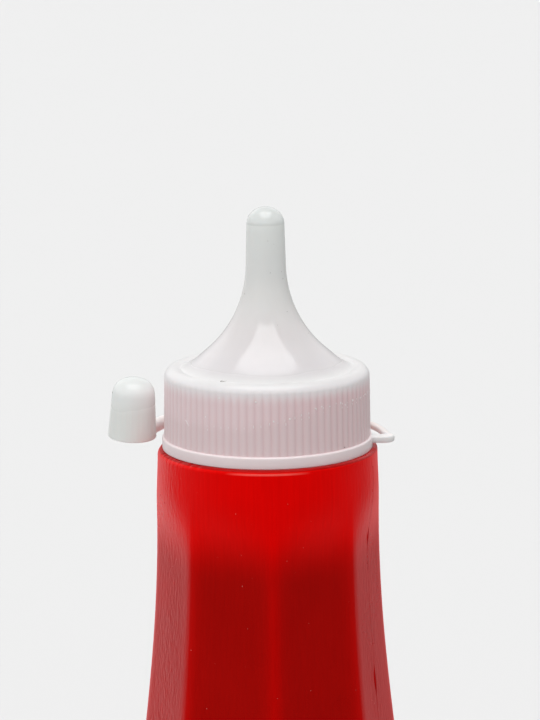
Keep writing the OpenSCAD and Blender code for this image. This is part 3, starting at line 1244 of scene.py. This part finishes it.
    def glints(self) -> Shape:
        """Painted highlights: pale ticks along the thread's trace in the grooves, a few brighter
        painted glints, and a pale scratch.

        Returns:
            All of them, joined.
        """
        draw = np.random.default_rng(41)
        step = 360 / self.ribs
        turn = np.repeat((np.arange(-8, 36) + 0.5) * step - 0.24 * step, 2)
        n = len(turn)
        second = np.arange(n) % 2 == 1
        right = turn > 15
        height = self.thread_line(np.radians(turn)) - 0.9 * second + draw.normal(0, 0.12, n)
        keep = draw.random(n) < np.where(second, np.where(right, 0.5, 0.12), 0.9)
        turn = turn + draw.normal(0, 0.2, n)
        size = draw.uniform(0.55, 1.0, n)
        wide, long = 0.17 * size, np.where(right, 0.55, 0.8) * size
        # Brighter painted glints on the ribs.
        nicks = np.array([
            # turn, height, width, length
            (-35.3, 9.4, 0.22, 0.35), (-26.5, 13.4, 0.42, 0.30), (-6.0, 13.0, 0.45, 0.38),
            (-10.8, 13.9, 0.30, 0.16), (3.5, 9.15, 0.34, 0.42), (12.2, 9.5, 0.46, 0.36),
            (26.8, 11.2, 0.30, 0.30), (30.9, 11.4, 0.26, 0.34), (36.1, 11.2, 0.34, 0.30),
            (44.0, 11.5, 0.30, 0.50), (47.5, 10.9, 0.26, 0.40), (54.4, 11.4, 0.50, 0.50),
            (63.3, 11.4, 0.30, 0.30), (69.0, 11.6, 0.30, 0.26), (74.8, 11.7, 0.34, 0.26),
        ])
        every = np.vstack([np.stack([turn, height, wide, long], -1)[keep], nicks])
        places, frames = self.on_surface(every[:, 0], every[:, 1])
        sizes = np.stack([every[:, 2], every[:, 3], np.full(len(every), 0.09)], -1)
        ticks = Shape.scattered(pebble(6), frames, places, sizes)
        t = np.linspace(0, 1, 10)
        places, frames = self.on_surface(-51 + 3.4 * t, 8.0 - 1.1 * t ** 1.6)
        scratch = self.thread(places + frames[:, 2] * 0.02, 0.06)
        return Shape.joined([ticks, scratch])

    def colours(self) -> tuple[tuple[float, Colour], ...]:
        """The white's changes with height: greenish on the thin shaft, and warm and darker at the
        cone's foot, where the darkness is painted shade, as it is towards the top of the tip.

        Returns:
            Heights above the floor, each with its colour.
        """
        above = (
            (2.1, (0.87, 0.855, 0.855)), (3.0, (0.91, 0.895, 0.895)), (12.6, (0.93, 0.915, 0.915)),
            (14.6, (0.86, 0.84, 0.845)), (15.3, (0.77, 0.75, 0.76)), (15.8, (0.69, 0.68, 0.68)),
            (16.25, (0.64, 0.63, 0.63)), (16.9, (0.60, 0.58, 0.585)), (18.0, (0.63, 0.605, 0.615)),
            (24.0, (0.68, 0.65, 0.65)), (31.0, (0.73, 0.725, 0.71)), (37.0, (0.795, 0.805, 0.79)),
            (45.1, (0.825, 0.848, 0.825)), (45.6, (0.78, 0.805, 0.79)), (48.6, (0.57, 0.59, 0.58)),
        )
        return tuple((self.base_z + z, colour) for z, colour in above)

    def build(self) -> None:
        """Makes the closure, the painted glints on its skirt and the specks on it."""
        shape, tint = self.shell()
        finish = NaturalPlastic("natural_white", self.colours()).material()
        dress(shape.build("closure_shell", {"tint": tint}), finish, "closure", "closure")
        painted_glint = Grain("painted_thread_glints", (0.84, 0.78, 0.79), (0.93, 0.88, 0.88), 0.35).material()
        dress(self.glints().build("painted_glint_ticks"), painted_glint, "closure")
        speck = Grain("dark_specks", (0.10, 0.09, 0.08), (0.30, 0.26, 0.24)).material()
        dress(self.specks().build("dark_specks"), speck, "closure")


# ---------------------------------------------------------------- strap and tip cap


@dataclass
class TipCap:
    """The domed cap for the nozzle's tip. It is off, open end down, and leans a little."""

    base_z: float = 166.0
    centre: tuple[float, float] = (-27.95, 5.3)
    radius: float = 5.01
    draft: float = 0.6
    height: float = 12.5
    dome: float = 3.7
    squareness: float = 2.5
    bore_r: float = 3.96
    flutes: int = 26
    flute_depth: float = 0.035
    blush_and_red_reflection: float = 0.05
    lean: tuple[float, float] = (5.0, 3.4)

    def side_radius(self, height: Array) -> Array:
        """Radius of the outside: a draft all the way up, times a super-ellipse for the dome.

        Args:
            height: heights above the open end.

        Returns:
            The radius at each height.
        """
        side = self.height - self.dome
        into = np.clip((height - side) / self.dome, 0, 1)
        round_off = (1 - into ** self.squareness) ** (1 / self.squareness)
        return (self.radius - self.draft * height / side) * round_off

    def outline(self) -> Array:
        """The cap's half outline, from the dome's top down the outside and up the bore.

        Returns:
            Rows of radius and height.
        """
        side = self.height - self.dome
        t = np.radians(np.linspace(86, 0, 25))
        dome_z = side + self.dome * np.sin(t) ** (2 / self.squareness)
        wall_z = np.linspace(side, 0.35, 26)[1:]
        outer_z = np.concatenate([dome_z, wall_z])
        outer = np.stack([self.side_radius(outer_z), outer_z], 1)
        lip = arc((self.radius - 0.35, 0.35), 0.35, 0.35, 0, -90, 5)[1:]
        inner_lip = arc((self.bore_r + 0.25, 0.25), 0.25, 0.25, -90, -180, 3)
        bore = arc((0, side), self.bore_r - self.draft / 5, self.dome - 1.05, 0, 86, 8)
        return np.vstack([outer, lip, inner_lip, bore])

    def placed(self, points: Array) -> Array:
        """Leans points towards the front and the right, and moves them to their place."""
        turns = [Matrix.Rotation(math.radians(a), 3, axis) for a, axis in zip(self.lean, "XY")]
        return points @ np.array(turns[1] @ turns[0]).T + np.array([*self.centre, self.base_z])

    def shape(self) -> tuple[Shape, Array]:
        """The cap with its faint flutes, leaning.

        Returns:
            The shape, and the tint of each vertex.
        """
        outline = self.outline()
        angles = even_columns(self.flutes * 8)
        side = self.height - self.dome
        z = outline[:, 1:]
        outer = outline[:, :1] > self.bore_r + 0.3
        fade = ease((side - 0.2 - z) / 4.0) * ease((z - 0.2) / 1.5) * outer
        flute = 0.5 - 0.5 * np.cos(self.flutes * angles)
        radius = outline[:, :1] - self.flute_depth * fade * flute
        # Painted reflection of the red bottle, on the side that faces it and strongest low down.
        warm = ease((np.cos(angles - math.radians(95)) + 0.2) / 1.2)
        blush_and_red_reflection = self.blush_and_red_reflection * warm ** 2 * ease((side - 0.5 - z) / 8)
        shape = Shape.from_rings(self.placed(rings_at(radius, z, angles)))
        return shape, with_poles(np.stack([blush_and_red_reflection, 0 * blush_and_red_reflection, 0 * blush_and_red_reflection], -1))

    def speck(self) -> Shape:
        """One dark grain on the cap's left edge.

        Returns:
            The grain.
        """
        height, a = 9.4, math.radians(-80)
        out = np.array([math.sin(a), -math.cos(a), 0.12])
        side = np.array([math.cos(a), math.sin(a), 0.0])
        r = float(self.side_radius(np.array([height]))[0])
        place = self.placed(np.array([r * out[0], r * out[1], height]))
        frames = np.array([[side, np.cross(out, side), out]])
        return Shape.scattered(pebble(), frames, place[None], np.array([[0.3, 0.45, 0.12]]))

    def build(self) -> None:
        """Makes the cap and the grain on it."""
        shape, tint = self.shape()
        side = self.base_z + self.height - self.dome
        # A lighter band round the dome's shoulder is a painted highlight, and the darker top is
        # painted shade.
        colours = (
            (side - 3.5, (0.81, 0.83, 0.805)), (side - 1.0, (0.86, 0.88, 0.86)),
            (side + 0.4, (0.86, 0.88, 0.865)), (side + 1.5, (0.80, 0.82, 0.81)),
            (side + 2.5, (0.70, 0.72, 0.71)), (side + 3.7, (0.61, 0.63, 0.62)),
        )
        finish = NaturalPlastic("natural_white_cap", colours, blush_and_red_reflection=(0.86, 0.70, 0.66),
                                smooth_z=(171.0, 176.5), roughness=(0.3, 0.22)).material()
        dress(shape.build("tip_cap_shell", {"tint": tint}), finish, "tip_cap", "tip_cap")
        speck = Grain("dark_grain", (0.08, 0.10, 0.08), (0.2, 0.2, 0.18)).material()
        dress(self.speck().build("tip_cap_speck"), speck, "tip_cap")


@dataclass
class Strap:
    """The strap: a flat arm from the band, a turn, and a round cord round the back to the cap.

    Besides the plain sizes, and with lengths taken along the strap:

    Attributes:
        arm_x: where the arm starts and ends.
        bend_reach: how far the small bend's two handles reach.
        to_cord: where the arm starts to narrow, and over what length.
        to_root: how far before the end the root starts, and over what length it grows.
        bow: how far the cord rises, how far before the end, and over what length.
        blush_and_red_reflection: amount, middle and half length of the painted reflection of the
            red wall.
        root_red_reflection: the same painted reflection on the root.
    """

    ring_r: float = 25.3
    ring_x: float = -0.9
    z: float = 166.5
    arm_y: float = -1.2
    arm_w: float = 2.6
    arm_h: float = 1.6
    cord: float = 1.5
    root_h: float = 2.9
    root_w: float = 2.4
    start_turn: float = 6.0
    end_turn: float = 162.0
    sides: int = 40
    arm_x: tuple[float, float] = (20.6, 23.6)
    bend_reach: tuple[float, float] = (2.1, 2.0)
    to_cord: tuple[float, float] = (3.4, 3.2)
    to_root: tuple[float, float] = (13, 7)
    bow: tuple[float, float, float] = (0.55, 9, 6)
    blush_and_red_reflection: tuple[float, float, float] = (0.55, 15, 8)
    root_red_reflection: float = 0.3

    def path(self) -> tuple[Array, Array]:
        """The middle line: out along the arm, round a small bend, and then on the ring's circle.

        Returns:
            Its points, and how far along it each one is.
        """
        arm = np.stack([np.linspace(*self.arm_x, 9), np.full(9, self.arm_y)], 1)
        t = np.radians(np.linspace(self.start_turn, self.end_turn, 120))
        ring = np.stack([self.ring_x + self.ring_r * np.cos(t), self.ring_r * np.sin(t)], 1)
        ahead = np.array([-math.sin(t[0]), math.cos(t[0])])
        s = np.linspace(0, 1, 15)[1:-1, None]
        out = arm[-1] + np.array([self.bend_reach[0], 0.0])
        back = ring[0] - self.bend_reach[1] * ahead
        bend = ((1 - s) ** 3 * arm[-1] + 3 * s * (1 - s) ** 2 * out
                + 3 * s ** 2 * (1 - s) * back + s ** 3 * ring[0])
        plan = np.vstack([arm, bend, ring])
        along = np.concatenate([[0], np.cumsum(np.linalg.norm(np.diff(plan, axis=0), axis=1))])
        return np.column_stack([plan, np.full(len(plan), self.z)]), along

    def build(self) -> None:
        """Makes the strap: its section goes from flat to round to tall along the path."""
        path, along = self.path()
        length = along[-1]
        to_cord = ease((along - self.to_cord[0]) / self.to_cord[1])
        to_root = ease((along - (length - self.to_root[0])) / self.to_root[1])
        rise, back, reach = self.bow
        path[:, 2] += rise * bell((along - (length - back)) / reach)
        widths, heights = (
            arm + (self.cord - arm) * to_cord + (root - self.cord) * to_root
            for arm, root in ((self.arm_w, self.root_w), (self.arm_h, self.root_h)))
        powers = 3.6 - 1.4 * to_cord
        shape = swept(path, widths, heights, powers, self.sides)
        # Painted reflection of the red wall on part of the cord and on the root.
        amount, middle, half = self.blush_and_red_reflection
        blush_and_red_reflection = amount * bell((along - middle) / half) + self.root_red_reflection * to_root
        rows = np.repeat(np.clip(blush_and_red_reflection, 0, 1), self.sides)
        tint = with_poles(np.stack([rows, 0 * rows, 0 * rows], -1))
        plain = (0.79, 0.79, 0.79)
        finish = NaturalPlastic("natural_white_strap", ((0.0, plain), (1.0, plain)),
                                blush_and_red_reflection=(0.82, 0.67, 0.62)).material()
        dress(shape.build("cap_strap", {"tint": tint}), finish, "strap", "strap")


# ---------------------------------------------------------------- studio


@dataclass
class Studio:
    """A pale floor, soft light and the camera.

    Attributes:
        ground: brightness that the camera sees past the floor, which is floor_size metres wide.
        sky, sky_left: light from everywhere, and how much more comes from the left.
        sky_rise, rise_z, fall_z, fall_to: what the sky adds at mid height, the heights of
            direction over which that comes in and falls again, and the share left overhead.
        softbox: brightness of the softbox overhead.
        box_side, box_near, box_far: where its edges fade, as x over z and as y over z.
        below, below_z: light from below, and the heights over which it comes in.
        walls: middle and half width in degrees, and amount, of each pale wall.
        target, distance: what the camera looks at, and from how far, in millimetres.
        elevation, roll: how far it looks down, and its turn about its own axis, in degrees.
    """

    ground: float = 0.863
    floor_albedo: float = 0.643
    floor_size: float = 40.0
    sky: float = 0.34
    sky_rise: float = 0.6
    rise_z: tuple[float, float] = (0.0, 0.35)
    fall_z: tuple[float, float] = (0.5, 0.8)
    fall_to: float = 0.3
    sky_left: float = 0.12
    softbox: float = 2.9
    box_side: tuple[float, float] = (0.46, 0.51)
    box_near: tuple[float, float] = (-0.88, -0.80)
    box_far: tuple[float, float] = (0.14, 0.22)
    below: float = 0.55
    below_z: tuple[float, float] = (-0.25, -0.5)
    walls: tuple[tuple[float, float, float], ...] = ((-148.0, 42.0, 0.38), (160.0, 42.0, 0.18))
    target: tuple[float, float, float] = (0.67, 0.0, 182.74)
    elevation: float = 10.8
    distance: float = 451.7
    lens: float = 111.35
    roll: float = -0.52

    def floor(self) -> None:
        """A wide level sheet for the camera. The pieces are lit by the studio in its place."""
        half = self.floor_size / 2
        x, y = np.meshgrid([-half, half], [-half, half])
        mesh = bpy.data.meshes.new("floor")
        points = np.stack([x.ravel(), y.ravel(), np.zeros(4)], -1)
        mesh.from_pydata(points.tolist(), [], [(0, 1, 3, 2)])
        sheet = bpy.data.objects.new("floor", mesh)
        bpy.context.scene.collection.objects.link(sheet)
        made = bpy.data.materials.new("pale_floor")
        g = Graph(made)
        mottle = g.noise(g.place(), 3, 2)
        low, high = ((a, a, a) for a in (self.floor_albedo, self.floor_albedo * 1.004))
        g.surface({
            "Base Color": g.blend(mottle, low, high),
            "Roughness": 1.0,
            "Specular IOR Level": 0.0,
        })
        mesh.materials.append(made)
        sheet.visible_glossy = sheet.visible_diffuse = False

    def world(self) -> None:
        """The studio's light by direction.

        The sky is brightest at mid height, a softbox hangs overhead, a pale wall stands to the
        left and behind, and a weaker one to the right and behind. The camera sees a plain ground.
        """
        made = bpy.data.worlds.new("studio")
        bpy.context.scene.world = made
        g = Graph(made)
        direction = g.node("ShaderNodeTexCoord").outputs["Generated"]
        x, y, z = g.node("ShaderNodeSeparateXYZ", {0: direction}).outputs[:3]
        camera_ray = g.node("ShaderNodeLightPath").outputs["Is Camera Ray"]
        turn = g.calc("ARCTAN2", x, g.calc("MULTIPLY", y, -1.0))
        up = g.calc("MAXIMUM", z, 0.001)
        rise = g.spread(z, *self.rise_z, 0, self.sky_rise, Slope.EASED)
        fall = g.spread(z, *self.fall_z, 1, self.fall_to, Slope.EASED)
        parts = [
            g.calc("MULTIPLY", rise, fall), self.sky, g.calc("MULTIPLY", x, -self.sky_left),
            g.spread(z, *self.below_z, 0, self.below, Slope.EASED),
        ]
        for middle, half, amount in self.walls:
            away = g.size(g.calc("SUBTRACT", turn, math.radians(middle)))
            parts.append(g.spread(away, 0, math.radians(half), amount, 0, Slope.EASED))
        aside, ahead = g.calc("DIVIDE", x, up), g.calc("DIVIDE", y, up)
        parts.append(g.calc(
            "MULTIPLY", g.spread(g.size(aside), *self.box_side, self.softbox, 0),
            g.spread(ahead, *self.box_near, 0, 1), g.spread(ahead, *self.box_far, 1, 0)))
        light = g.calc("ADD", *parts)
        light = g.node("ShaderNodeMix", {0: camera_ray, 2: light, 3: self.ground}).outputs[0]
        glow = g.node("ShaderNodeBackground", {"Strength": light, "Color": (1, 1, 1, 1)})
        g.node("ShaderNodeOutputWorld", {0: glow.outputs[0]})

    def camera(self) -> None:
        """The camera, a little above the closure and level with its left and right."""
        lens = bpy.data.cameras.new("camera")
        lens.lens, lens.sensor_width = self.lens, 36.0
        lens.clip_start, lens.clip_end = 0.02, 200.0
        eye = bpy.data.objects.new("camera", lens)
        bpy.context.scene.collection.objects.link(eye)
        rise = math.radians(self.elevation)
        away = Vector((0, -math.cos(rise), math.sin(rise))) * self.distance
        place = (Vector(self.target) + away) * MM
        turn = (Vector(self.target) * MM - place).to_track_quat("-Z", "Y").to_matrix().to_4x4()
        roll = Matrix.Rotation(math.radians(self.roll), 4, "Z")
        eye.matrix_world = Matrix.Translation(place) @ turn @ roll
        bpy.context.scene.camera = eye

    def build(self) -> None:
        """Sets up the floor, the light and the camera."""
        self.floor()
        self.world()
        self.camera()
        bpy.context.scene.view_settings.view_transform = "Standard"
        log.info("studio ready")


def main() -> None:
    """Builds the bottle from the inside out, then the studio round it."""
    bottle = Bottle()
    Contents(bottle).build()
    bottle.build()
    Closure().build()
    Strap().build()
    TipCap().build()
    Studio().build()


if __name__ == "__main__":
    main()
